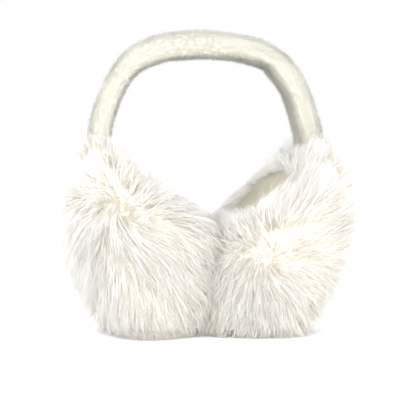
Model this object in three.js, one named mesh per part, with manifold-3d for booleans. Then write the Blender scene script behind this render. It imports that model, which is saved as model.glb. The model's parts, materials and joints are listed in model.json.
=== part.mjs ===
// A pair of fur earmuffs: a padded plush headband that ends inside two deep fur ear pads,
// each with a round plush lining disc set in a dish on the side that faces the ear.
// The pads lean in under the band until they press against each other, and the whole
// thing stands on their flattened undersides.
//
// Millimetres, +Z up. The origin is on the surface it stands on, in the middle of the
// whole object. +X runs to the right-hand pad and -Y is the front, where the right pad
// shows its ear side and the left pad shows its outer side.

import * as THREE from "three";
import { mergeVertices } from "three/addons/utils/BufferGeometryUtils.js";
import Module from "manifold-3d";

const wasm = await Module();
wasm.setup();

// ---- Driving dimensions ----

const GAP = 0.4; // clearance between pieces that touch on the real object
const PAD_TURN = 12; // degrees that each pad is turned about its own vertical line
const PAD_DEPTH = 55; // half the front-to-back size of a pad
const PAD_CENTRE = { x: 54, z: 66 };
const FACE_LEAN = 44; // degrees that the ear side leans in from the vertical

// The fur's outline in the XZ plane, anticlockwise from the outer side, before the floor
// and the neighbouring pad flatten it. x is measured outwards on both pads; the left one
// has slumped a little lower than the right one.
const FUR_OUTLINE = [
  { place: "outer side", right: { x: 103, z: 90 }, left: { x: 101, z: 78 } },
  { place: "upper side", right: { x: 103, z: 112 }, left: { x: 96, z: 104 } },
  { place: "shoulder", right: { x: 92, z: 131 }, left: { x: 88, z: 130 } },
  { place: "band entry", right: { x: 73, z: 134 }, left: { x: 72, z: 131 } },
  { place: "upper rim", right: { x: 57, z: 113 }, left: { x: 57, z: 109 } },
  { place: "ear side", right: { x: 38, z: 94 }, left: { x: 32, z: 95 } },
  { place: "valley", right: { x: 5, z: 71 }, left: { x: 3, z: 75 } },
  { place: "pressed side", right: { x: -6, z: 42 }, left: { x: -6, z: 42 } },
  { place: "pressed corner", right: { x: -3, z: 3 }, left: { x: -3, z: 3 } },
  { place: "inner sole", right: { x: 20, z: -7 }, left: { x: 20, z: -7 } },
  { place: "sole", right: { x: 42, z: -9 }, left: { x: 42, z: -9 } },
  { place: "heel", right: { x: 57, z: 0 }, left: { x: 60, z: -1 } },
  { place: "lower side", right: { x: 77, z: 22 }, left: { x: 77, z: 18 } },
  { place: "middle side", right: { x: 93, z: 53 }, left: { x: 92, z: 47 } },
];
const ROUND_EXPONENT = 2; // how the outline shrinks to the front, along the ear side
const FLAT_EXPONENT = 3.6; // the same across it, which keeps the two faces flat
const TUFT = { height: 1.1, around: 9, across: 7 }; // gentle lumps of the fur's surface

// The lining disc, and the dish in the fur that it sits in.
const LINING = { radius: 31, flat: 17, edge: 3, dome: 5.5, back: 5 };
const LINING_CENTRE = { x: 41, z: 91 };
const DISH = { flare: 9, height: 40 };

// The headband's centre line, from the crown down to each end inside its pad.
const BAND_LINE = [
  { place: "crown", left: { x: 0, z: 197.5 }, right: { x: 0, z: 197.5 } },
  { place: "crown side", left: { x: 26, z: 196 }, right: { x: 26, z: 195 } },
  { place: "shoulder", left: { x: 45, z: 190 }, right: { x: 43.5, z: 189 } },
  { place: "shoulder end", left: { x: 57, z: 180 }, right: { x: 56, z: 176 } },
  { place: "upper arm", left: { x: 65, z: 166 }, right: { x: 64, z: 160 } },
  { place: "arm", left: { x: 71.5, z: 148 }, right: { x: 69, z: 144 } },
  { place: "fur edge", left: { x: 74.5, z: 131 }, right: { x: 72.5, z: 129 } },
  { place: "in the pad", left: { x: 76, z: 112 }, right: { x: 75, z: 112 } },
  { place: "band end", left: { x: 75, z: 95 }, right: { x: 76, z: 96 } },
];

// The band's section along its length, from the left end at 0 to the right end at 1.
const BAND_SECTIONS = [
  { at: 0, wide: 20, thick: 15 },
  { at: 0.28, wide: 21, thick: 15 },
  { at: 0.38, wide: 23, thick: 18.5 },
  { at: 0.5, wide: 24, thick: 19.5 },
  { at: 0.65, wide: 24, thick: 18.5 },
  { at: 1, wide: 24, thick: 18.5 },
];
// The crease across the head side, where the plush bunches at the right shoulder.
const BAND_CREASE = { at: 0.655, reach: 0.012, depth: 2 };
const BAND_TWIST = 12; // degrees at each end, none at the crown
const BAND_INNER_SHARE = 0.42; // share of the thickness on the head side of the line
const BAND_INNER_EXPONENT = 3.4; // above 2, so the head side is flatter than the top

const CUTTER = 400; // longer than anything that a cutting block has to clear

// ---- Materials ----

const furMaterial = new THREE.MeshStandardMaterial({
  color: 0xf4f3ee,
  roughness: 0.9,
  metalness: 0,
});
const plushMaterial = new THREE.MeshStandardMaterial({
  color: 0xf5f1df,
  roughness: 0.95,
  metalness: 0,
});
const liningMaterial = new THREE.MeshStandardMaterial({
  color: 0xefebda,
  roughness: 0.95,
  metalness: 0,
});

// ---- Helpers ----

const radians = THREE.MathUtils.degToRad;

// A closed three.js geometry as a manifold-3d solid.
function solidOf(geometry) {
  const bare = geometry.clone();
  bare.deleteAttribute("normal");
  bare.deleteAttribute("uv");
  const merged = mergeVertices(bare, 1e-3);
  return new wasm.Manifold(
    new wasm.Mesh({
      numProp: 3,
      vertProperties: merged.attributes.position.array,
      triVerts: new Uint32Array(merged.index.array),
    }),
  );
}

// A manifold-3d solid as a named mesh.
function meshOf(solid, name, material) {
  const { vertProperties, triVerts } = solid.getMesh();
  const geometry = new THREE.BufferGeometry();
  geometry.setAttribute(
    "position",
    new THREE.BufferAttribute(vertProperties, 3),
  );
  geometry.setIndex(new THREE.BufferAttribute(triVerts, 1));
  geometry.computeVertexNormals();
  const mesh = new THREE.Mesh(geometry, material);
  mesh.name = name;
  return mesh;
}

// Moves every vertex of a geometry to where place(vertex) puts it.
function reshape(geometry, place) {
  const position = geometry.attributes.position;
  const vertex = new THREE.Vector3();
  for (let i = 0; i < position.count; i++) {
    place(vertex.fromBufferAttribute(position, i));
    position.setXYZ(i, vertex.x, vertex.y, vertex.z);
  }
  return geometry;
}

// A value that runs smoothly between the rows of a table, by their "at" column.
function between(rows, at, column) {
  const last = Math.max(1, rows.findIndex((row) => row.at >= at));
  const [a, b] = [rows[last - 1], rows[last]];
  const share = THREE.MathUtils.smoothstep(at, a.at, b.at);
  return a[column] + (b[column] - a[column]) * share;
}

// ---- The headband ----

function bandCurve() {
  const rows = BAND_LINE.slice(1);
  const left = rows.map((row) => new THREE.Vector3(-row.left.x, 0, row.left.z));
  const right = BAND_LINE.map((row) => new THREE.Vector3(row.right.x, 0, row.right.z));
  return new THREE.CatmullRomCurve3([...left.reverse(), ...right]);
}

// The padded tube along its line. "extra" makes it that much thicker all round.
function bandSolid(extra) {
  const curve = bandCurve();
  const depth = new THREE.Vector3(0, 1, 0);
  const tube = new THREE.CylinderGeometry(1, 1, 1, 20, 48);
  reshape(tube, (v) => {
    const at = THREE.MathUtils.clamp(0.5 - v.y, 0, 1);
    const fromCentre = Math.hypot(v.x, v.z);
    const angle = Math.atan2(v.z, v.x);
    const tangent = curve.getTangentAt(at);
    const outward = new THREE.Vector3().crossVectors(depth, tangent).negate();
    const turn = radians(BAND_TWIST) * (2 * at - 1);
    const up = outward.clone().multiplyScalar(Math.cos(turn));
    up.addScaledVector(depth, Math.sin(turn));
    const side = depth.clone().multiplyScalar(Math.cos(turn));
    side.addScaledVector(outward, -Math.sin(turn));
    const thick = between(BAND_SECTIONS, at, "thick");
    const inner = Math.sin(angle) < 0;
    const exponent = inner ? BAND_INNER_EXPONENT : 2;
    const share = inner ? BAND_INNER_SHARE : 1 - BAND_INNER_SHARE;
    const rounding = (c) => Math.sign(c) * Math.abs(c) ** (2 / exponent);
    const halfWide = between(BAND_SECTIONS, at, "wide") / 2 + extra;
    const fromCrease = (at - BAND_CREASE.at) / BAND_CREASE.reach;
    const crease = inner ? BAND_CREASE.depth * Math.exp(-(fromCrease ** 2)) : 0;
    const reachUp = thick * share - crease + extra;
    const end = curve.getPointAt(at);
    end.addScaledVector(side, rounding(Math.cos(angle)) * fromCentre * halfWide);
    end.addScaledVector(up, rounding(Math.sin(angle)) * fromCentre * reachUp);
    if (at === 0 || at === 1) end.addScaledVector(tangent, at ? extra : -extra);
    v.copy(end);
  });
  return solidOf(tube);
}

// ---- The ear pads, made as the right-hand one ----

const centre = new THREE.Vector3(PAD_CENTRE.x, 0, PAD_CENTRE.z);
const vertical = new THREE.Vector3(0, 0, 1);

// Turns a point of the right-hand pad about the pad's own vertical line.
function turnWithPad(point) {
  return point
    .sub(centre)
    .applyAxisAngle(vertical, radians(PAD_TURN))
    .add(centre);
}

// The outer form of the fur, before anything presses or cuts it.
function furForm(side) {
  const outline = new THREE.CatmullRomCurve3(
    FUR_OUTLINE.map((row) => new THREE.Vector3(row[side].x, 0, row[side].z)),
    true,
  );
  const faceAngle = radians(90 - FACE_LEAN);
  const ball = new THREE.SphereGeometry(1, 44, 22);
  reshape(ball, (v) => {
    const around = Math.atan2(v.z, v.x);
    const forward = THREE.MathUtils.clamp(v.y, -1, 1);
    const share = THREE.MathUtils.euclideanModulo(around / (2 * Math.PI), 1);
    const arm = outline.getPoint(share).sub(centre);
    const acrossFace = Math.sin(Math.atan2(arm.z, arm.x) - faceAngle) ** 2;
    const exponent =
      ROUND_EXPONENT + (FLAT_EXPONENT - ROUND_EXPONENT) * acrossFace;
    const shrink = (1 - Math.abs(forward) ** exponent) ** (1 / exponent);
    const lump =
      TUFT.height *
      shrink *
      Math.sin(TUFT.around * around) *
      Math.cos(TUFT.across * Math.asin(forward));
    arm.setLength(arm.length() * shrink + lump);
    v.copy(arm).add(centre).setY(PAD_DEPTH * forward);
    turnWithPad(v);
  });
  return solidOf(ball);
}

// A turned profile stood on the lining's plane, facing the ear.
function onEarSide(profile, sides) {
  const points = profile.map(([radius, height]) => new THREE.Vector2(radius, height));
  const turned = new THREE.LatheGeometry(points, sides);
  const toEar = new THREE.Vector3(
    -Math.cos(radians(FACE_LEAN)),
    0,
    Math.sin(radians(FACE_LEAN)),
  );
  const aim = new THREE.Quaternion().setFromUnitVectors(
    new THREE.Vector3(0, 1, 0),
    toEar,
  );
  reshape(turned, (v) => {
    v.applyQuaternion(aim);
    v.add(new THREE.Vector3(LINING_CENTRE.x, 0, LINING_CENTRE.z));
    turnWithPad(v);
  });
  return solidOf(turned);
}

// The lining: a padded disc, flat in the middle where the ear rests.
function liningSolid() {
  const { radius, flat, edge, dome, back } = LINING;
  return onEarSide(
    [
      [0, -back],
      [radius - edge, -back],
      [radius, -back + edge],
      [radius, 0],
      [radius - edge, edge * 0.8],
      [(radius + flat) / 2, dome * 0.85],
      [flat, dome],
      [0, dome],
    ],
    44,
  );
}

// The space in the fur for the lining and for the ear in front of it.
function dishCutter() {
  const { radius, edge, back } = LINING;
  return onEarSide(
    [
      [0, -back - GAP],
      [radius - edge + GAP, -back - GAP],
      [radius + GAP, -back + edge - GAP],
      [radius + GAP, edge],
      [radius + DISH.flare, DISH.height],
      [0, DISH.height],
    ],
    44,
  );
}

// A block that fills everything on one side of a plane across the axis "x" or "z".
function blockBelow(axis, level) {
  const block = new THREE.BoxGeometry(CUTTER, CUTTER, CUTTER);
  block.translate(
    axis === "x" ? level - CUTTER / 2 : 0,
    0,
    axis === "z" ? level - CUTTER / 2 : 0,
  );
  return solidOf(block);
}

// The fur of one pad, flattened below and against its neighbour, with its dish.
function furSolid(side) {
  const fur = furForm(side)
    .subtract(blockBelow("z", 0))
    .subtract(blockBelow("x", GAP / 2))
    .subtract(dishCutter());
  return onSide(fur, side).subtract(bandSolid(GAP));
}

// ---- Assembly ----

// Every piece of a pad is made on the right; the left one is turned round to its place.
function onSide(solid, side) {
  return side === "left" ? solid.rotate([0, 0, 180]) : solid;
}

const pieces = new THREE.Group();
pieces.add(meshOf(bandSolid(0), "headband", plushMaterial));
for (const side of ["left", "right"]) {
  const lining = onSide(liningSolid(), side);
  pieces.add(meshOf(furSolid(side), side + "_ear_fur", furMaterial));
  pieces.add(meshOf(lining, side + "_ear_lining", liningMaterial));
}

// The right pad stands out a little further, so the pieces are centred on the origin.
const middle = new THREE.Box3().setFromObject(pieces).getCenter(new THREE.Vector3());
pieces.position.set(-middle.x, -middle.y, 0);

const earmuffs = new THREE.Group();
earmuffs.name = "fur_earmuffs";
earmuffs.add(pieces);

export default earmuffs;
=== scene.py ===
"""Dresses a pair of fur earmuffs: deep white fur pads, plush headband, plush linings."""

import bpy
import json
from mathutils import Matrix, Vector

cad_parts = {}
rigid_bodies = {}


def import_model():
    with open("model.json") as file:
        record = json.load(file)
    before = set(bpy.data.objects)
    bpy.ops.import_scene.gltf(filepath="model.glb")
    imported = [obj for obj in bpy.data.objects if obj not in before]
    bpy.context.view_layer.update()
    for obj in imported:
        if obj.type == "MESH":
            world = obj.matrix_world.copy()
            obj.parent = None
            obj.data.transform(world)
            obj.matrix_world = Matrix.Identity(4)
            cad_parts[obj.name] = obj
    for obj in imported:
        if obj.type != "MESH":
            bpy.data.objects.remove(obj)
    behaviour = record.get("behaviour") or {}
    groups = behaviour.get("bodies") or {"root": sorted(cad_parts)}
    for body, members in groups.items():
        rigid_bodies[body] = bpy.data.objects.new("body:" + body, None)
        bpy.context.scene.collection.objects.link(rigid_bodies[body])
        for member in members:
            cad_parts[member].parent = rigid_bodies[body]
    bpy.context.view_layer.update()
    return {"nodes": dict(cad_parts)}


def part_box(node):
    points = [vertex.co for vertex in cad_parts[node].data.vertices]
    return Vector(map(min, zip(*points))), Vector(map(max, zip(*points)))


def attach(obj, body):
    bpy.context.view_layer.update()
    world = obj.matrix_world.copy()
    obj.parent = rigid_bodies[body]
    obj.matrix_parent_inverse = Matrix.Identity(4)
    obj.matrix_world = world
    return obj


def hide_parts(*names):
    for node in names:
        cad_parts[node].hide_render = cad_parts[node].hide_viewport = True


bl_info = {
    "name": "Fur Earmuffs",
    "version": (1, 0, 0),
    "blender": (4, 5, 0),
    "location": "3D View > Sidebar > Earmuffs",
    "description": "Models and dresses a pair of fur earmuffs with a plush headband",
    "category": "Object",
}

import json
import math

import bpy
import numpy as np
from bpy.props import FloatProperty, FloatVectorProperty, IntProperty, PointerProperty
from mathutils import Vector, kdtree
from mathutils.bvhtree import BVHTree

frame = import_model()
MM = 0.001

# Where the hair points straight out of each pad's front, as x and z in metres. The fur
# fans out from these crowns, and the back of a pad has its neighbour's, half a turn round.
FRONT_CROWNS = {"left": (-0.074, 0.083), "right": (0.024, 0.046)}
BACK_CROWNS = {"left": (-0.024, 0.046), "right": (0.074, 0.083)}
SIDES = ("left", "right")
CROWN_SIZE = 0.02  # within this reach of a crown the hair stands out more than it lies
CROWN_WHIRL = 0.8  # turn of the flow at a crown, in radians
CROWN_SPREAD = 0.018  # reach of the denser hair at a crown
CROWN_DENSITY = 3.0  # how much denser the roots are at a crown, and beside a lining
CROWN_SWERVE = 8.0  # how much more the locks turn their own ways at a crown
ROOT_CHANCE = 0.2  # chance that a random place elsewhere gets a hair
ROOT_FROM_LINING = 0.3 * MM  # no hair is rooted closer to a lining, or to the headband
ROOT_FROM_BAND = 1.2 * MM
BEHIND = 0.02  # the front's flow turns into the back's from -BEHIND to BEHIND in y

# The flow's random turns: size in radians, wavelength in metres, seed.
FLOW_TURNS = ((0.34, 0.05, 11), (0.2, 0.02, 12), (0.12, 0.009, 14))
FLOW_ACROSS = (0.3, 0.045, 13)  # and its random lean to front or back
RIM_INWARD, RIM_UPWARD = 0.35, 0.6  # pull of the flow beside an ear lining
RIM_REACH = 0.01  # how far past the form the hair runs beside an ear lining
EDGE_REACH = 0.006  # and at the rest of a pad's edge
EDGE_PRESS = 0.55  # share of its height over the form that hair at the edge loses
OPENING = (0.022, 0.029)  # radius round a lining's middle that each lock leaves open
HANG_FROM, HANG_FULL = 0.015, -0.03  # heights over a crown between which hair droops
HANG_LEAST = 0.2  # share of the droop that hair above them has
FLOP = 1.1  # how much the tips of the hair at a crown flop down
GUIDE_STEPS = 8  # points of a lock's guide after its root
FRONT_FACING = (0.35, 0.75)  # the form counts as edge below and as front above, in |y|
RISE_CURVE = 1.25  # how early a lock rises to the form
LOCK_LENGTHS = (0.82, 1.12)  # of a layer's length
LOCK_SWERVE = 0.12  # spread of the locks' own turns, in radians
LEAST_DEPTH = 0.003  # under the form, from which a lock may rise, however thin the fur
UNDER_FORM = 0.0006  # how far under the form a lock's tip may lie
FLOOR_GAP = 0.0008  # between the floor and a lock
HAIR_FLOOR_GAP = 0.0005  # between the floor and a hair
HAIR_LENGTHS = (0.72, 1.0)  # of a lock's length
HAIR_WIDTHS = (0.75, 1.3)  # of a layer's or a pile's width
NEAREST_PULL = 1.5  # weight of the nearest lock over the next two, times its share
GATHERINGS = (0.6, 1.15)  # of a layer's gathering
GATHER_CURVE, MOST_GATHERED = 0.8, 0.95
BEND_CURVE = 1.6  # how late along the hair it bends
BEND_LIMIT = 1.8  # most bend of a hair, in standard deviations
WILD_SHARE, WILD_BEND = 0.05, 1.5  # hairs that bend more, and how much more

# Each layer of fur: the pull outwards at its root, how far its locks may lie over the
# form, how much a lock's hairs gather at the tip, the spread of the hairs' bends, the
# nearest lock's share in a hair, the width of a hair and where it starts along its
# lock, both as shares, and the radii of its rings before the tip.
LAYERS = {
    "guard_hair": {
        "rise": 0.8,
        "over": 3.5 * MM,
        "gather": 0.2,
        "stray": 2.6 * MM,
        "own": 0.5,
        "width": 0.85,
        "first": 0.0,
        "profile": (0.9, 1, 0.75),
    },
    "underfur": {
        "rise": 0.9,
        "over": 2.0 * MM,
        "gather": 0.15,
        "stray": 3.0 * MM,
        "own": 0.2,
        "width": 1.0,
        "first": 0.3,
        "profile": (1,),
    },
}

# How much of the fur's depth is left near something: the share on it, and the distances
# between which the depth comes back.
THIN_AT_LINING = (0.0, 1 * MM, 13 * MM)
THIN_AT_BAND = (0.0, 0.8 * MM, 6 * MM)
THIN_AT_FLOOR = (0.45, 1 * MM, 20 * MM)
THIN_BETWEEN_PADS = (0.4, 1 * MM, 14 * MM)
CORE_VOXEL = 2.6 * MM

BAND_MIDDLE = 0.12  # height of the middle of the headband's arc, which the nap goes round
NAP_ALONG, NAP_RANDOM = 0.75, 0.4  # lean of the pile along the band, and in patches
NAP_PATCH = 0.03  # size of the patches
PILE_LEAN = 0.42  # spread of the tufts' own leans
PILE_UPRIGHT = 0.35  # least share of a tuft's direction that is straight up
PILE_LENGTHS = (0.7, 1.15)  # of the pile's length
LINING_PILE = 0.9  # length of the linings' pile, as a share of the headband's
PILE_SUNK = -0.15  # where a tuft starts along its length, a little under the cloth

PANEL_HIDDEN = {"rna_type", "name"}
UV_NAME = "OFBake"  # U is each hair's own tint, V goes from its root to its tip


# ---- Small tools ----


def linear(hex_code):
    """An sRGB hex value as linear red, green and blue."""
    channels = [int(hex_code[i : i + 2], 16) / 255 for i in (0, 2, 4)]
    return [
        c / 12.92 if c <= 0.04045 else ((c + 0.055) / 1.055) ** 2.4 for c in channels
    ]


def add_node(tree, kind, settings=None, links=None):
    """Adds a node. Settings name its attributes or its sockets; links feed its sockets."""
    node = tree.nodes.new(kind)
    for name, value in (settings or {}).items():
        if isinstance(name, str) and hasattr(node, name):
            setattr(node, name, value)
        else:
            node.inputs[name].default_value = value
    for name, (source, output) in (links or {}).items():
        tree.links.new(source.outputs[output], node.inputs[name])
    return node


def add_material(name):
    material = bpy.data.materials.new(name)
    material.use_nodes = True
    material.node_tree.nodes.clear()
    return material, material.node_tree


def make_active(piece):
    bpy.ops.object.select_all(action="DESELECT")
    piece.select_set(True)
    bpy.context.view_layer.objects.active = piece


def apply_modifier(piece, name, kind, **settings):
    modifier = piece.modifiers.new(name, kind)
    for key, value in settings.items():
        setattr(modifier, key, value)
    make_active(piece)
    bpy.ops.object.modifier_apply(modifier=modifier.name)


def copy_of_node(node, name):
    """A loose copy of a CAD node, with its triangles joined up."""
    piece = bpy.data.objects.new(name, frame["nodes"][node].data.copy())
    piece.data.name = name
    piece.data.materials.clear()
    bpy.context.scene.collection.objects.link(piece)
    make_active(piece)
    bpy.ops.object.mode_set(mode="EDIT")
    bpy.ops.mesh.select_all(action="SELECT")
    bpy.ops.mesh.remove_doubles(threshold=0.02 * MM)
    bpy.ops.object.mode_set(mode="OBJECT")
    return piece


def values_of(items, attribute, width=3):
    found = np.empty(len(items) * width, np.float32)
    items.foreach_get(attribute, found)
    return found.reshape(-1, width).astype(float)


def tree_of(mesh):
    """A search tree of a mesh's surface."""
    places = [v.co for v in mesh.vertices]
    return BVHTree.FromPolygons(places, [tuple(p.vertices) for p in mesh.polygons])


def nearest(tree, points):
    """Each point's nearest place on the tree, the normal there and the signed distance."""
    found = [tree.find_nearest(Vector(p)) for p in points]
    places = np.array([f[0] for f in found])
    normals = np.array([f[1] for f in found])
    reach = points - places
    signs = np.where((reach * normals).sum(1) >= 0, 1.0, -1.0)
    return places, normals, signs * np.linalg.norm(reach, axis=1)


def unit(vectors):
    return vectors / np.maximum(np.linalg.norm(vectors, axis=-1, keepdims=True), 1e-9)


def smooth_step(low, high, values):
    """From 0 at "low" to 1 at "high", which may be the smaller of the two."""
    share = np.clip((values - low) / (high - low), 0, 1)
    return share * share * (3 - 2 * share)


def waves(points, length, seed):
    """A smooth random value from about -1 to 1 for each point: five waves added up."""
    rng = np.random.default_rng(seed)
    total = np.zeros(len(points))
    for _ in range(5):
        direction = unit(rng.normal(size=3)) * rng.uniform(0.7, 1.5) * 2 * np.pi / length
        total += np.sin(points @ direction + rng.uniform(0, 2 * np.pi))
    return total / 2.5


# ---- Hair ----


def roots_on(mesh, count, rng, allowed):
    """Random places on a mesh, with their normals. allowed gives each place's chance."""
    mesh.calc_loop_triangles()
    corners = np.empty(len(mesh.loop_triangles) * 3, np.int32)
    mesh.loop_triangles.foreach_get("vertices", corners)
    corners = corners.reshape(-1, 3)
    places = values_of(mesh.vertices, "co")
    normals = values_of(mesh.vertex_normals, "vector")
    a, b, c = (places[corners[:, i]] for i in range(3))
    areas = np.linalg.norm(np.cross(b - a, c - a), axis=1)
    kept_places, kept_normals, kept = [], [], 0
    while kept < count:
        face = rng.choice(len(areas), size=count, p=areas / areas.sum())
        u, v = rng.random((2, count))
        folded = u + v > 1
        u, v = np.where(folded, 1 - u, u), np.where(folded, 1 - v, v)
        weights = np.stack([1 - u - v, u, v], 1)[..., None]
        spots = (places[corners[face]] * weights).sum(1)
        facing = unit((normals[corners[face]] * weights).sum(1))
        good = rng.random(count) < allowed(spots, facing)
        kept_places.append(spots[good])
        kept_normals.append(facing[good])
        kept += int(good.sum())
    return np.concatenate(kept_places)[:count], np.concatenate(kept_normals)[:count]


def along(paths, shares):
    """Points of each path at its own shares of its length."""
    steps = paths.shape[1] - 1
    at = np.clip(shares, 0, 1) * steps
    low = np.minimum(at.astype(int), steps - 1)
    part = (at - low)[..., None]
    rows = np.arange(len(paths))[:, None]
    return paths[rows, low] * (1 - part) + paths[rows, low + 1] * part


def hair_object(name, paths, ups, widths, profile, rng, soft=False):
    """Joined three-sided hairs. paths holds each hair's points, the last one its tip.

    A soft pile is shaded as the cloth that it grows from.
    """
    count, points = paths.shape[:2]
    rings = points - 1
    tangents = unit(np.gradient(paths, axis=1))
    sides = unit(np.cross(tangents, ups[:, None]))
    tops = np.cross(tangents, sides)
    angles = np.arange(3) * 2 * np.pi / 3
    radii = 0.5 * widths[:, None] * np.asarray(profile)[None]
    across = sides[:, :rings, None] * np.cos(angles)[None, None, :, None]
    flatness = 0.7
    upward = tops[:, :rings, None] * np.sin(angles)[None, None, :, None] * flatness
    ring_points = paths[:, :rings, None] + (across + upward) * radii[..., None, None]
    vertices = np.concatenate(
        [ring_points.reshape(count, rings * 3, 3), paths[:, -1:]], axis=1
    )
    own = rings * 3 + 1
    quads = [
        [k * 3 + j, k * 3 + (j + 1) % 3, k * 3 + 3 + (j + 1) % 3, k * 3 + 3 + j]
        for k in range(rings - 1)
        for j in range(3)
    ]
    tips = [
        [rings * 3 - 3 + j, rings * 3 - 3 + (j + 1) % 3, rings * 3] for j in range(3)
    ]
    faces = quads + tips + [[2, 1, 0]]
    corners = np.concatenate([np.array(f) for f in faces])
    loops = (np.arange(count)[:, None] * own + corners[None]).ravel()
    starts = np.cumsum([0] + [len(f) for f in faces])[:-1]
    loop_starts = (np.arange(count)[:, None] * len(corners) + starts[None]).ravel()
    # The UV map stays inside its square, and no face of it is empty.
    tints = rng.uniform(0.03, 0.97, count)
    spread = np.append(np.tile([-0.002, 0.0, 0.002], rings), 0.0)
    shares = np.append(np.repeat(np.arange(rings) / rings, 3), 1.0)
    uv = np.stack(
        [
            tints[:, None] + spread[None],
            np.broadcast_to(0.02 + 0.96 * shares, (count, own)),
        ],
        axis=-1,
    ).reshape(-1, 2)
    mesh = bpy.data.meshes.new(name)
    mesh.vertices.add(count * own)
    mesh.vertices.foreach_set("co", vertices.astype(np.float32).ravel())
    mesh.loops.add(len(loops))
    mesh.loops.foreach_set("vertex_index", loops.astype(np.int32))
    mesh.polygons.add(len(loop_starts))
    mesh.polygons.foreach_set("loop_start", loop_starts.astype(np.int32))
    mesh.update(calc_edges=True)
    layer = mesh.uv_layers.new(name=UV_NAME)
    layer.uv.foreach_set("vector", uv[loops].astype(np.float32).ravel())
    mesh.shade_smooth()
    if soft:
        mesh.normals_split_custom_set_from_vertices(np.repeat(ups, own, axis=0))
    piece = bpy.data.objects.new(name, mesh)
    bpy.context.scene.collection.objects.link(piece)
    return piece


def fur_flow(points, side, droop, flop, swerve, beside, inward):
    """Which way the fur is laid at each point of a pad: away from the pad's crowns.

    The flow is weak close to a crown, so that the hair stands out there, and it whirls.
    Beside the ear lining it turns inward, over the lining's rim.
    """
    plane = points[:, [0, 2]]
    behind = smooth_step(-BEHIND, BEHIND, points[:, 1])[:, None]
    away = np.zeros_like(plane)
    for crown, share in ((FRONT_CROWNS[side], 1 - behind), (BACK_CROWNS[side], behind)):
        reach = plane - np.array(crown)
        away += share * reach / np.sqrt((reach**2).sum(1) + CROWN_SIZE**2)[:, None]
    strength = np.clip(np.linalg.norm(away, axis=1), 0, 1)
    turn = sum(size * waves(points, length, seed) for size, length, seed in FLOW_TURNS)
    turn += CROWN_WHIRL * (1 - strength) + swerve * (1 + CROWN_SWERVE * (1 - strength))
    cos, sin = np.cos(turn), np.sin(turn)
    flow = np.zeros_like(points)
    flow[:, 0] = away[:, 0] * cos - away[:, 1] * sin
    flow[:, 1] = FLOW_ACROSS[0] * waves(points, *FLOW_ACROSS[1:])
    flow[:, 2] = away[:, 0] * sin + away[:, 1] * cos
    over_crown = points[:, 2] - FRONT_CROWNS[side][1]
    below = smooth_step(HANG_FROM, HANG_FULL, over_crown)
    flow += RIM_INWARD * beside[:, None] * inward
    flow[:, 2] += RIM_UPWARD * beside * (1 - behind[:, 0])
    hang = droop * (HANG_LEAST + (1 - HANG_LEAST) * below)
    flow[:, 2] -= hang + flop * (1 - strength)
    return flow / np.maximum(np.linalg.norm(flow, axis=1, keepdims=True), 1)


def beside_lining(lining, points):
    """1 within 8 mm of an ear lining, falling to 0 at 18 mm, and the way to the lining."""
    places, _, height = nearest(lining, points)
    return smooth_step(18 * MM, 8 * MM, np.abs(height)), unit(places - points)


def crown_share(points, side):
    """1 at a pad's crowns, falling to 0 away from them."""
    share = np.zeros(len(points))
    for (x, z), face in ((FRONT_CROWNS[side], -1), (BACK_CROWNS[side], 1)):
        reach = (points[:, 0] - x) ** 2 + (points[:, 2] - z) ** 2
        share += np.exp(-reach / CROWN_SPREAD**2) * (points[:, 1] * face > 0)
    return share


def march_guides(
    roots, normals, form, lining, middle, side, length, rise, over, droop, rng
):
    """Grows one guide for each lock: it rises to the fur's outer form and lies along it.

    At a pad's edge a lock ends a little beyond the form; beside the ear lining it runs
    on, over the lining's rim, and leaves the lining's middle open.
    """
    count = len(roots)
    paths = np.empty((count, GUIDE_STEPS + 1, 3))
    paths[:, 0] = roots
    ends = np.full(count, float(GUIDE_STEPS))
    lengths = length * rng.uniform(*LOCK_LENGTHS, count)
    swerve = rng.normal(size=count) * LOCK_SWERVE
    caps = over * rng.uniform(0.0, 1.0, count)
    opening = rng.uniform(*OPENING, count)
    here, facing = roots.copy(), normals.copy()
    depths = -nearest(form, roots)[2]
    beside, inward = beside_lining(lining, here)
    for step in range(1, GUIDE_STEPS + 1):
        share = step / GUIDE_STEPS
        hang, flop = droop * (1 + share), FLOP * share
        flow = fur_flow(here, side, hang, flop, swerve, beside, inward)
        lift = rise * (1 - share)
        heading = unit(flow + facing * lift)
        there = here + heading * (lengths / GUIDE_STEPS)[:, None]
        _, facing, height = nearest(form, there)
        least = -np.maximum(depths, LEAST_DEPTH) * (1 - share) ** RISE_CURVE - UNDER_FORM
        low = height < least
        there[low] += (facing * (least - height)[:, None])[low]
        height = np.maximum(height, least)
        front = smooth_step(*FRONT_FACING, np.abs(facing[:, 1]))
        excess = np.maximum(height - caps, 0) * (EDGE_PRESS + (1 - EDGE_PRESS) * front)
        beside, inward = beside_lining(lining, there)
        excess *= 1 - beside * (1 - front)
        there -= facing * excess[:, None]
        there[:, 2] = np.maximum(there[:, 2], FLOOR_GAP)
        reach = 0.1 * MM + EDGE_REACH * (1 - front) + RIM_REACH * beside
        out = height - excess > caps + reach
        out |= np.linalg.norm(there - middle, axis=1) < opening
        out &= step > 1
        ends[out & (ends == GUIDE_STEPS)] = step
        paths[:, step] = there
        here = there
    return paths, ends / GUIDE_STEPS


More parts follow.
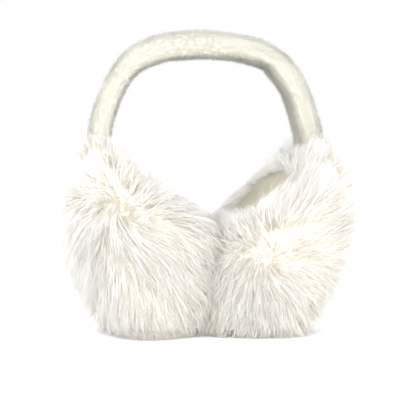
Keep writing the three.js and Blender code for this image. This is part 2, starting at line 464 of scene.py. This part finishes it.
def lock_strands(
    roots, guides, ends, guide_roots, gather, stray, own, first, rings, rng
):
    """Lays each hair along its lock's guide, gathered towards it at the tip.

    A share "own" of the way comes from the nearest guide, the rest from the next two.

    A hair starts a share "first" of the way along, where the ones over it hide its root.
    """
    finder = kdtree.KDTree(len(guide_roots))
    for i, place in enumerate(guide_roots):
        finder.insert(place, i)
    finder.balance()
    locks = np.array([[f[1] for f in finder.find_n(place, 3)] for place in roots])
    count = len(roots)
    weights = rng.random((count, 3)) * (1 - own)
    weights[:, 0] += NEAREST_PULL * own
    weights /= weights.sum(1, keepdims=True)
    shares = np.linspace(first, 1, rings + 1)
    own_length = (ends[locks] * weights).sum(1) * rng.uniform(*HAIR_LENGTHS, count)
    blended = (guides[locks] * weights[..., None, None]).sum(1)
    paths = along(blended, shares[None] * own_length[:, None])
    offsets = roots - (guide_roots[locks] * weights[..., None]).sum(1)
    gathered = gather * rng.uniform(*GATHERINGS, count)
    gathered = gathered[:, None] * shares[None] ** GATHER_CURVE
    keep = 1 - np.clip(gathered, 0, MOST_GATHERED)
    paths = paths + offsets[:, None] * keep[..., None]
    bend = np.clip(rng.normal(size=(count, 3)), -BEND_LIMIT, BEND_LIMIT) * stray
    bend[rng.random(count) < WILD_SHARE] *= WILD_BEND
    paths += bend[:, None] * (shares**BEND_CURVE)[None, :, None]
    paths[..., 2] = np.maximum(paths[..., 2], HAIR_FLOOR_GAP)
    return paths


# ---- Settings ----


class FurSettings(bpy.types.PropertyGroup):
    core_depth: FloatProperty(
        name="Core depth",
        description="How far the pad's backing cloth lies under the fur's outer form",
        default=11 * MM,
        unit="LENGTH",
    )
    guard_length: FloatProperty(
        name="Guard hair length",
        description="Length of the long outer hair",
        default=38 * MM,
        unit="LENGTH",
    )
    under_length: FloatProperty(
        name="Underfur length",
        description="Length of the shorter, denser hair under it",
        default=27 * MM,
        unit="LENGTH",
    )
    hair_width: FloatProperty(
        name="Hair width",
        description="Width of one modelled hair, which stands for a few real ones",
        default=0.3 * MM,
        unit="LENGTH",
    )
    lock_count: IntProperty(
        name="Locks",
        description="Locks that each layer of hair on a pad gathers into",
        default=2200,
    )
    guard_count: IntProperty(
        name="Guard hairs", description="Long outer hairs on each pad", default=11600
    )
    under_count: IntProperty(
        name="Underfur hairs", description="Shorter hairs on each pad", default=46000
    )
    droop: FloatProperty(
        name="Droop", description="How much the fur hangs down", default=0.4
    )
    tip_colour: FloatVectorProperty(
        name="Tip colour",
        description="Colour of the hair's tips",
        default=linear("FFFEFC"),
        subtype="COLOR",
    )
    # painted shade: the hair's root colour is darker and warmer than its tips, standing
    # for the shade deep in the fur
    shaded_root_colour: FloatVectorProperty(
        name="Root colour",
        description="Colour of the hair near the backing cloth",
        default=linear("F9F4EA"),
        subtype="COLOR",
    )


class PlushSettings(bpy.types.PropertyGroup):
    pile_length: FloatProperty(
        name="Pile length",
        description="Length of the plush's pile",
        default=3.3 * MM,
        unit="LENGTH",
    )
    pile_width: FloatProperty(
        name="Pile width",
        description="Width of one modelled tuft of pile",
        default=0.6 * MM,
        unit="LENGTH",
    )
    band_count: IntProperty(
        name="Headband pile", description="Tufts on the headband", default=32000
    )
    lining_count: IntProperty(
        name="Lining pile", description="Tufts on each ear lining", default=6000
    )
    tip_colour: FloatVectorProperty(
        name="Tip colour",
        description="Colour of the pile's tips",
        default=linear("DAD8CC"),
        subtype="COLOR",
    )
    # painted shade: the linings' cream pile is darkened, standing for the shade the
    # linings sit in, facing inward between the pads
    shaded_lining_colour: FloatVectorProperty(
        name="Lining colour",
        description="Colour of the ear linings' pile",
        default=linear("DAD4BE"),
        subtype="COLOR",
    )
    # painted shade: the pile's root colour is darker than its tips, standing for the shade
    # deep in the pile
    shaded_root_colour: FloatVectorProperty(
        name="Root colour",
        description="Colour deep in the pile",
        default=linear("D5D2C4"),
        subtype="COLOR",
    )


class StageSettings(bpy.types.PropertyGroup):
    azimuth: FloatProperty(
        name="Azimuth",
        description="Camera's turn to the left of straight in front",
        default=math.radians(10),
        subtype="ANGLE",
    )
    elevation: FloatProperty(
        name="Elevation",
        description="Camera's angle above the level",
        default=math.radians(2.5),
        subtype="ANGLE",
    )
    distance: FloatProperty(
        name="Distance",
        description="Camera's distance from the earmuffs",
        default=1.1,
        unit="LENGTH",
    )
    lens: FloatProperty(
        name="Focal length", description="Camera's focal length in mm", default=143.5
    )
    key_power: FloatProperty(
        name="Key light", description="Strength of the soft key light", default=4.8
    )
    surround: FloatProperty(
        name="Surround", description="Strength of the light all round", default=2.06
    )
    fall: FloatProperty(
        name="Fall of light",
        description="How much brighter the surround is in front than behind and above",
        default=0.45,
    )
    floor_colour: FloatVectorProperty(
        name="Floor colour",
        description="Colour of the floor",
        default=linear("FAFAFA"),
        subtype="COLOR",
    )


# ---- Materials ----


def strand_material(name, tip_colour, shaded_root_colour, through, sheen):
    """Acrylic pile fibre, drawn and brushed: soft, matt and letting light through.

    The colour runs from a darker, warmer root, which is painted shade deep in the fur or
    pile, to the tip, and each hair has its own slight tint.
    """
    material, tree = add_material(name)
    place = add_node(tree, "ShaderNodeUVMap", {"uv_map": UV_NAME})
    parts = add_node(tree, "ShaderNodeSeparateXYZ", links={0: (place, 0)})
    ramp = add_node(tree, "ShaderNodeValToRGB", links={0: (parts, "Y")})
    # painted shade: the ramp darkens each hair towards its root, standing for the shade
    # deep in the fur or pile
    ramp.color_ramp.elements[0].position = 0.05
    ramp.color_ramp.elements[0].color = (*shaded_root_colour, 1)
    ramp.color_ramp.elements[1].position = 0.6
    ramp.color_ramp.elements[1].color = (*tip_colour, 1)
    tint = add_node(tree, "ShaderNodeValToRGB", links={0: (parts, "X")})
    tint.color_ramp.elements[0].color = (*linear("FBFBFA"), 1)
    tint.color_ramp.elements[1].color = (1, 1, 1, 1)
    colour = add_node(
        tree,
        "ShaderNodeMix",
        {"data_type": "RGBA", "blend_type": "MULTIPLY", 0: 1.0},
        {6: (ramp, 0), 7: (tint, 0)},
    )
    surface = add_node(
        tree,
        "ShaderNodeBsdfPrincipled",
        {
            "Roughness": 0.62,
            "IOR": 1.49,
            "Specular IOR Level": 0.3,
            "Sheen Weight": sheen,
            "Sheen Roughness": 0.5,
        },
        {"Base Color": (colour, 2)},
    )
    glow = add_node(tree, "ShaderNodeBsdfTranslucent", links={"Color": (colour, 2)})
    mixed = add_node(
        tree, "ShaderNodeMixShader", {0: through}, {1: (surface, 0), 2: (glow, 0)}
    )
    add_node(tree, "ShaderNodeOutputMaterial", links={0: (mixed, 0)})
    return material


def cloth_material(name, light, dark, grain):
    """Knitted acrylic backing seen between the pile: matt, with a soft brushed mottle. Its
    colours are set darker than the pile's, as painted shade deep under the pile.
    """
    material, tree = add_material(name)
    place = add_node(tree, "ShaderNodeTexCoord")
    mottle = add_node(
        tree,
        "ShaderNodeTexNoise",
        {"Scale": 1 / grain, "Detail": 3.0},
        {"Vector": (place, "Object")},
    )
    ramp = add_node(tree, "ShaderNodeValToRGB", links={0: (mottle, 0)})
    ramp.color_ramp.elements[0].position = 0.3
    ramp.color_ramp.elements[0].color = (*dark, 1)
    ramp.color_ramp.elements[1].position = 0.7
    ramp.color_ramp.elements[1].color = (*light, 1)
    bump = add_node(
        tree,
        "ShaderNodeBump",
        {"Strength": 0.4, "Distance": 0.3 * grain},
        {"Height": (mottle, 0)},
    )
    surface = add_node(
        tree,
        "ShaderNodeBsdfPrincipled",
        {"Roughness": 0.9, "IOR": 1.49, "Specular IOR Level": 0.2},
        {"Base Color": (ramp, 0), "Normal": (bump, 0)},
    )
    add_node(tree, "ShaderNodeOutputMaterial", links={0: (surface, 0)})
    return material


# ---- Pieces ----


def thinned(distances, least, near, far):
    """The share of the fur's depth that is left at these distances from something."""
    return least + (1 - least) * smooth_step(near, far, distances)


def give(piece, material, nodes=()):
    """Dresses a finished piece and tells the frame what it is."""
    piece.data.materials.append(material)
    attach(piece, "root")
    if nodes:
        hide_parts(*nodes)


def move_in(piece, depths):
    """Moves each vertex in by its own depth."""
    places = values_of(piece.data.vertices, "co")
    normals = values_of(piece.data.vertex_normals, "vector")
    places -= normals * depths[:, None]
    places[:, 2] = np.maximum(places[:, 2], 1.5 * MM)
    piece.data.vertices.foreach_set("co", places.astype(np.float32).ravel())
    piece.data.update()


class EARMUFFS_OT_pad_cores(bpy.types.Operator):
    """Makes the backing cloth of each fur pad, under the depth of the fur"""

    bl_idname = "earmuffs.pad_cores"
    bl_label = "Make Pad Cores"

    def execute(self, context):
        fur = context.scene.earmuffs_fur
        # painted shade: the backing cloth is darker than the fur's roots, standing for the
        # shade deep under the fur
        material = cloth_material(
            "brushed_acrylic_backing", linear("E2DFD8"), linear("D8D4CB"), 2.5 * MM
        )
        for side in SIDES:
            core = copy_of_node(side + "_ear_fur", side + "_pad_core")
            apply_modifier(core, "Even", "REMESH", mode="VOXEL", voxel_size=CORE_VOXEL)
            places = values_of(core.data.vertices, "co")
            lining = tree_of(frame["nodes"][side + "_ear_lining"].data)
            band = tree_of(frame["nodes"]["headband"].data)
            from_lining = np.abs(nearest(lining, places)[2])
            from_band = np.abs(nearest(band, places)[2])
            depths = fur.core_depth * thinned(from_lining, *THIN_AT_LINING)
            depths *= thinned(from_band, *THIN_AT_BAND)
            depths *= thinned(places[:, 2], *THIN_AT_FLOOR)
            depths *= thinned(np.abs(places[:, 0]), *THIN_BETWEEN_PADS)
            move_in(core, depths)
            apply_modifier(core, "Heal", "REMESH", mode="VOXEL", voxel_size=CORE_VOXEL)
            apply_modifier(core, "Smooth", "SMOOTH", factor=0.5, iterations=3)
            core.data.shade_smooth()
            give(core, material, [side + "_ear_fur"])
        return {"FINISHED"}


class EARMUFFS_OT_pad_fur(bpy.types.Operator):
    """Grows the long guard hair and the underfur of both pads"""

    bl_idname = "earmuffs.pad_fur"
    bl_label = "Grow Pad Fur"

    def execute(self, context):
        fur = context.scene.earmuffs_fur
        material = strand_material(
            "long_pile_acrylic_fur", fur.tip_colour, fur.shaded_root_colour, 0.6, 0.0
        )
        sizes = {
            "guard_hair": (fur.guard_length, fur.guard_count),
            "underfur": (fur.under_length, fur.under_count),
        }
        for side in SIDES:
            core = bpy.data.objects[side + "_pad_core"].data
            form = tree_of(frame["nodes"][side + "_ear_fur"].data)
            lining = tree_of(frame["nodes"][side + "_ear_lining"].data)
            band = tree_of(frame["nodes"]["headband"].data)
            low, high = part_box(side + "_ear_lining")
            middle = (np.array(low) + np.array(high)) / 2

            def open_to_air(places, _facing, lining=lining, band=band, side=side):
                near_lining = np.abs(nearest(lining, places)[2]) < ROOT_FROM_LINING
                near_band = np.abs(nearest(band, places)[2]) < ROOT_FROM_BAND
                more = crown_share(places, side) + beside_lining(lining, places)[0]
                chance = ROOT_CHANCE * (1 + CROWN_DENSITY * more)
                return np.where(near_lining | near_band, 0, chance)

            for number, (name, layer) in enumerate(LAYERS.items()):
                length, count = sizes[name]
                rng = np.random.default_rng(100 + 10 * number + SIDES.index(side))
                roots, normals = roots_on(core, count, rng, open_to_air)
                locks = rng.choice(len(roots), fur.lock_count, replace=False)
                guides, ends = march_guides(
                    roots[locks],
                    normals[locks],
                    form,
                    lining,
                    middle,
                    side,
                    length,
                    layer["rise"],
                    layer["over"],
                    fur.droop,
                    rng,
                )
                paths = lock_strands(
                    roots,
                    guides,
                    ends,
                    roots[locks],
                    layer["gather"],
                    layer["stray"],
                    layer["own"],
                    layer["first"],
                    len(layer["profile"]),
                    rng,
                )
                widths = fur.hair_width * layer["width"]
                widths = widths * rng.uniform(*HAIR_WIDTHS, len(roots))
                piece = hair_object(
                    f"{side}_{name}", paths, normals, widths, layer["profile"], rng
                )
                give(piece, material)
        return {"FINISHED"}


def grow_plush(name, base, count, length, width, material, allowed, seed):
    """Short pile: tufts that lean every way, and most along the headband's arc."""
    rng = np.random.default_rng(seed)
    roots, normals = roots_on(base.data, count, rng, allowed)
    lean = rng.normal(size=roots.shape) * PILE_LEAN
    nap = np.stack([waves(roots, NAP_PATCH, seed + i) for i in range(3)], 1) * NAP_RANDOM
    x, z = roots[:, 0], roots[:, 2]
    nap += NAP_ALONG * unit(np.stack([z - BAND_MIDDLE, 0 * x, -x], 1))
    heading = unit(normals + lean + nap)
    upright = (heading * normals).sum(1)
    heading = unit(heading + normals * np.clip(PILE_UPRIGHT - upright, 0, 1)[:, None])
    lengths = length * rng.uniform(*PILE_LENGTHS, count)
    shares = np.array([PILE_SUNK, 1.0])
    paths = roots[:, None] + heading[:, None] * (lengths[:, None] * shares)[..., None]
    widths = width * rng.uniform(*HAIR_WIDTHS, count)
    piece = hair_object(name, paths, normals, widths, (1,), rng, soft=True)
    give(piece, material)


class EARMUFFS_OT_headband(bpy.types.Operator):
    """Makes the padded headband and its short plush pile"""

    bl_idname = "earmuffs.headband"
    bl_label = "Make Headband"

    def execute(self, context):
        plush = context.scene.earmuffs_plush
        # painted shade: the backing cloth is darker than the pile, standing for the shade
        # deep under the pile
        cloth = cloth_material(
            "knitted_plush_backing", linear("C9C5B5"), linear("C0BBAA"), 2 * MM
        )
        pile = strand_material(
            "cream_plush_pile", plush.tip_colour, plush.shaded_root_colour, 0.35, 0.1
        )
        band = copy_of_node("headband", "headband_sleeve")
        apply_modifier(band, "Even", "REMESH", mode="VOXEL", voxel_size=2 * MM)
        apply_modifier(band, "Soften", "SMOOTH", factor=0.5, iterations=3)
        move_in(band, np.full(len(band.data.vertices), 1.3 * MM))
        band.data.shade_smooth()
        give(band, cloth, ["headband"])
        pads = [tree_of(bpy.data.objects[s + "_pad_core"].data) for s in SIDES]

        def outside(places, _facing):
            return np.all([nearest(pad, places)[2] > 2 * MM for pad in pads], axis=0)

        grow_plush(
            "headband_pile",
            band,
            plush.band_count,
            plush.pile_length,
            plush.pile_width,
            pile,
            outside,
            300,
        )
        return {"FINISHED"}


class EARMUFFS_OT_linings(bpy.types.Operator):
    """Makes the padded plush disc on each pad's ear side"""

    bl_idname = "earmuffs.linings"
    bl_label = "Make Ear Linings"

    def execute(self, context):
        plush = context.scene.earmuffs_plush
        # painted shade: the backing cloth and the pile's roots are darker than the pile's
        # tips, standing for the shade deep in the linings' pile
        cloth = cloth_material(
            "lining_backing", linear("CEC8B1"), linear("C5BFA6"), 2 * MM
        )
        pile = strand_material(
            "lining_pile", plush.shaded_lining_colour, linear("D3CDB6"), 0.35, 0.1
        )
        for number, side in enumerate(SIDES):
            disc = copy_of_node(side + "_ear_lining", side + "_lining_disc")
            apply_modifier(disc, "Even", "REMESH", mode="VOXEL", voxel_size=1.6 * MM)
            apply_modifier(disc, "Soften", "SMOOTH", factor=0.5, iterations=4)
            disc.data.shade_smooth()
            give(disc, cloth, [side + "_ear_lining"])
            inward = -1 if side == "right" else 1

            def ear_side(_places, facing, inward=inward):
                return facing[:, 0] * inward + facing[:, 2] > -0.1

            grow_plush(
                side + "_lining_pile",
                disc,
                plush.lining_count,
                plush.pile_length * LINING_PILE,
                plush.pile_width,
                pile,
                ear_side,
                400 + 10 * number,
            )
        return {"FINISHED"}


class EARMUFFS_OT_stage(bpy.types.Operator):
    """Sets the pale floor, the soft studio light and the camera"""

    bl_idname = "earmuffs.stage"
    bl_label = "Set Stage"

    def execute(self, context):
        stage = context.scene.earmuffs_stage
        scene = context.scene
        bpy.ops.object.select_all(action="DESELECT")
        bpy.ops.mesh.primitive_circle_add(
            vertices=64, radius=6.0, fill_type="NGON", location=(0, 0, 0)
        )
        floor = context.active_object
        floor.name = "floor"
        material, tree = add_material("white_paper_floor")
        surface = add_node(
            tree,
            "ShaderNodeBsdfPrincipled",
            {"Base Color": (*stage.floor_colour, 1), "Roughness": 0.9},
        )
        add_node(tree, "ShaderNodeOutputMaterial", links={0: (surface, 0)})
        floor.data.materials.append(material)

        elevation, azimuth = stage.elevation, stage.azimuth
        toward = Vector(
            (
                -math.sin(azimuth) * math.cos(elevation),
                -math.cos(azimuth) * math.cos(elevation),
                math.sin(elevation),
            )
        )
        target = Vector((-5.4, 1.0, 92.4)) * MM
        camera_data = bpy.data.cameras.new("camera")
        camera_data.lens = stage.lens
        camera = bpy.data.objects.new("camera", camera_data)
        camera.location = target + toward * stage.distance
        camera.rotation_euler = (-toward).to_track_quat("-Z", "Y").to_euler()
        scene.collection.objects.link(camera)
        scene.camera = camera

        data = bpy.data.lights.new("key_softbox", "SUN")
        data.angle = math.radians(60)
        data.energy = stage.key_power
        light = bpy.data.objects.new("key_softbox", data)
        onward = Vector((0.2, 1.0, -0.14))
        light.rotation_euler = onward.to_track_quat("-Z", "Y").to_euler()
        scene.collection.objects.link(light)

        world = bpy.data.worlds.new("white_studio")
        world.use_nodes = True
        tree = world.node_tree
        tree.nodes.clear()
        path = add_node(tree, "ShaderNodeLightPath")
        place = add_node(tree, "ShaderNodeTexCoord")
        facing = add_node(
            tree,
            "ShaderNodeVectorMath",
            {"operation": "DOT_PRODUCT", 1: unit(np.array([-0.25, -0.8, -0.5]))},
            {0: (place, "Generated")},
        )
        fall = add_node(
            tree,
            "ShaderNodeMapRange",
            {
                "From Min": -1.0,
                "From Max": 1.0,
                "To Min": stage.surround * (1 - stage.fall),
                "To Max": stage.surround * (1 + stage.fall),
            },
            {"Value": (facing, "Value")},
        )
        seen = add_node(
            tree, "ShaderNodeBackground", {"Color": (1, 1, 1, 1), "Strength": 1.0}
        )
        share = add_node(
            tree,
            "ShaderNodeMapRange",
            {"From Min": -1.0, "From Max": 0.7},
            {"Value": (facing, "Value")},
        )
        tone = add_node(tree, "ShaderNodeValToRGB", links={0: (share, 0)})
        tone.color_ramp.elements[0].color = (*linear("EEF4FC"), 1)
        tone.color_ramp.elements[1].color = (1, 1, 1, 1)
        lit = add_node(
            tree,
            "ShaderNodeBackground",
            links={"Color": (tone, 0), "Strength": (fall, 0)},
        )
        both = add_node(
            tree,
            "ShaderNodeMixShader",
            links={0: (path, "Is Camera Ray"), 1: (lit, 0), 2: (seen, 0)},
        )
        add_node(tree, "ShaderNodeOutputWorld", links={0: (both, 0)})
        scene.world = world
        scene.view_settings.view_transform = "Standard"
        return {"FINISHED"}


class EARMUFFS_PT_panel(bpy.types.Panel):
    """Sizes, colours and steps of the earmuffs"""

    bl_label = "Fur Earmuffs"
    bl_idname = "EARMUFFS_PT_panel"
    bl_space_type = "VIEW_3D"
    bl_region_type = "UI"
    bl_category = "Earmuffs"

    def draw(self, context):
        scene = context.scene
        for group in (scene.earmuffs_fur, scene.earmuffs_plush, scene.earmuffs_stage):
            box = self.layout.box()
            for name in group.bl_rna.properties.keys():
                if name not in PANEL_HIDDEN:
                    box.prop(group, name)
        for operator in OPERATORS:
            self.layout.operator(operator.bl_idname)


GROUPS = {
    "earmuffs_fur": FurSettings,
    "earmuffs_plush": PlushSettings,
    "earmuffs_stage": StageSettings,
}
OPERATORS = (
    EARMUFFS_OT_pad_cores,
    EARMUFFS_OT_pad_fur,
    EARMUFFS_OT_headband,
    EARMUFFS_OT_linings,
    EARMUFFS_OT_stage,
)


def register():
    for group in GROUPS.values():
        bpy.utils.register_class(group)
    for name, group in GROUPS.items():
        setattr(bpy.types.Scene, name, PointerProperty(type=group))
    for operator in OPERATORS:
        bpy.utils.register_class(operator)
    bpy.utils.register_class(EARMUFFS_PT_panel)


def unregister():
    bpy.utils.unregister_class(EARMUFFS_PT_panel)
    for operator in reversed(OPERATORS):
        bpy.utils.unregister_class(operator)
    for name in GROUPS:
        delattr(bpy.types.Scene, name)
    for group in GROUPS.values():
        bpy.utils.unregister_class(group)


def main():
    register()
    bpy.ops.earmuffs.pad_cores()
    bpy.ops.earmuffs.pad_fur()
    bpy.ops.earmuffs.headband()
    bpy.ops.earmuffs.linings()
    bpy.ops.earmuffs.stage()


if __name__ == "__main__":
    main()
